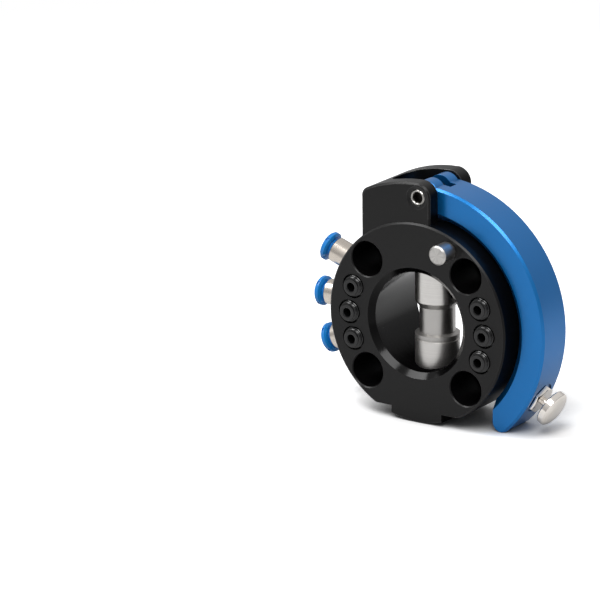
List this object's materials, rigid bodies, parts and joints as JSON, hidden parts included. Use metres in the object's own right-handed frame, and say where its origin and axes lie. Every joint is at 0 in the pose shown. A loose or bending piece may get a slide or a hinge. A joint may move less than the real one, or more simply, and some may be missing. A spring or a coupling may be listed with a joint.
{
  "type": "manual robot tool changer",
  "caption": "Round hand-operated robot tool changer with a curved blue lever, a locking bolt across its bore, air ports with push-in fittings and an index plunger.",
  "frame": {"origin": "centre of the robot face, on the axis of the disc", "axes": "+Y out of the robot face into the robot flange, -Y to the tool, +Z to the lever pivot, +X to the lever"},
  "size_m": [0.0888, 0.0315, 0.0754],
  "materials": {
    "black_anodised": "satin black anodised, fine bead-blasted",
    "blue_anodised": "satin blue anodised",
    "ground_steel": "ground and polished",
    "stainless": "bright machined",
    "nickel": "nickel plated, turned",
    "dark_steel": "black oxide",
    "spring_steel": "bright spring steel",
    "seal_rubber": "soft sheen black rubber",
    "gasket_plastic": "natural plastic",
    "collar_plastic": "glossy blue plastic"
  },
  "bodies": {
    "housing": {"housing": "black_anodised", "dowel_pin": "ground_steel", "port_seal_left_upper": "seal_rubber", "port_seal_left_middle": "seal_rubber", "port_seal_left_lower": "seal_rubber", "port_seal_right_upper": "seal_rubber", "port_seal_right_middle": "seal_rubber", "port_seal_right_lower": "seal_rubber", "fitting_upper": "nickel", "fitting_middle": "nickel", "fitting_lower": "nickel", "gasket_upper": "gasket_plastic", "gasket_middle": "gasket_plastic", "gasket_lower": "gasket_plastic", "tube_seal_upper": "seal_rubber", "tube_seal_middle": "seal_rubber", "tube_seal_lower": "seal_rubber", "tube_collet_upper": "spring_steel", "tube_collet_middle": "spring_steel", "tube_collet_lower": "spring_steel", "port_plug_upper": "dark_steel", "port_plug_middle": "dark_steel", "port_plug_lower": "dark_steel", "pivot_screw_front": "stainless", "pivot_screw_back": "stainless"},
    "lever": {"lever": "blue_anodised", "crank_pin": "ground_steel", "plunger_bush": "nickel", "plunger_spring": "spring_steel"},
    "drive_link": {"drive_link": "dark_steel"},
    "locking_bolt": {"locking_bolt": "ground_steel", "bolt_pin": "ground_steel"},
    "index_plunger": {"plunger_pin": "nickel", "plunger_knob": "nickel"},
    "collar_upper": {"release_collar_upper": "collar_plastic"},
    "collar_middle": {"release_collar_middle": "collar_plastic"},
    "collar_lower": {"release_collar_lower": "collar_plastic"}
  },
  "joints": [
    {"name": "lever_pivot", "type": "hinge", "parent": "housing", "child": "lever", "pos_m": [0, -0.01325, 0.0393], "axis": [0, -1, 0], "range_deg": [0, 60]},
    {"name": "link_swing", "type": "hinge", "parent": "lever", "child": "drive_link", "pos_m": [-0.00705, -0.01325, 0.03673], "axis": [0, -1, 0], "range_deg": [-87, 0]},
    {"name": "bolt_slide", "type": "slide", "parent": "housing", "child": "locking_bolt", "axis": [0, 0, -1], "range_m": [0, 0.0076]},
    {"name": "plunger_slide", "type": "slide", "parent": "lever", "child": "index_plunger", "axis": [0.8704, 0, -0.4924], "range_m": [-0.0021, 0], "deforming": ["plunger_spring"]},
    {"name": "collar_upper_push", "type": "slide", "parent": "housing", "child": "collar_upper", "axis": [0.9397, 0, -0.342], "range_m": [0, 0.0008], "stiffness_N_per_m": 300},
    {"name": "collar_middle_push", "type": "slide", "parent": "housing", "child": "collar_middle", "axis": [1, 0, 0], "range_m": [0, 0.0008], "stiffness_N_per_m": 300},
    {"name": "collar_lower_push", "type": "slide", "parent": "housing", "child": "collar_lower", "axis": [0.9397, 0, 0.342], "range_m": [0, 0.0008], "stiffness_N_per_m": 300}
  ],
  "couplings": [
    {"joint": "bolt_slide", "follows": "lever_pivot", "m_per_rad": 0.007162},
    {"joint": "link_swing", "follows": "lever_pivot", "ratio": -1.435}
  ]
}
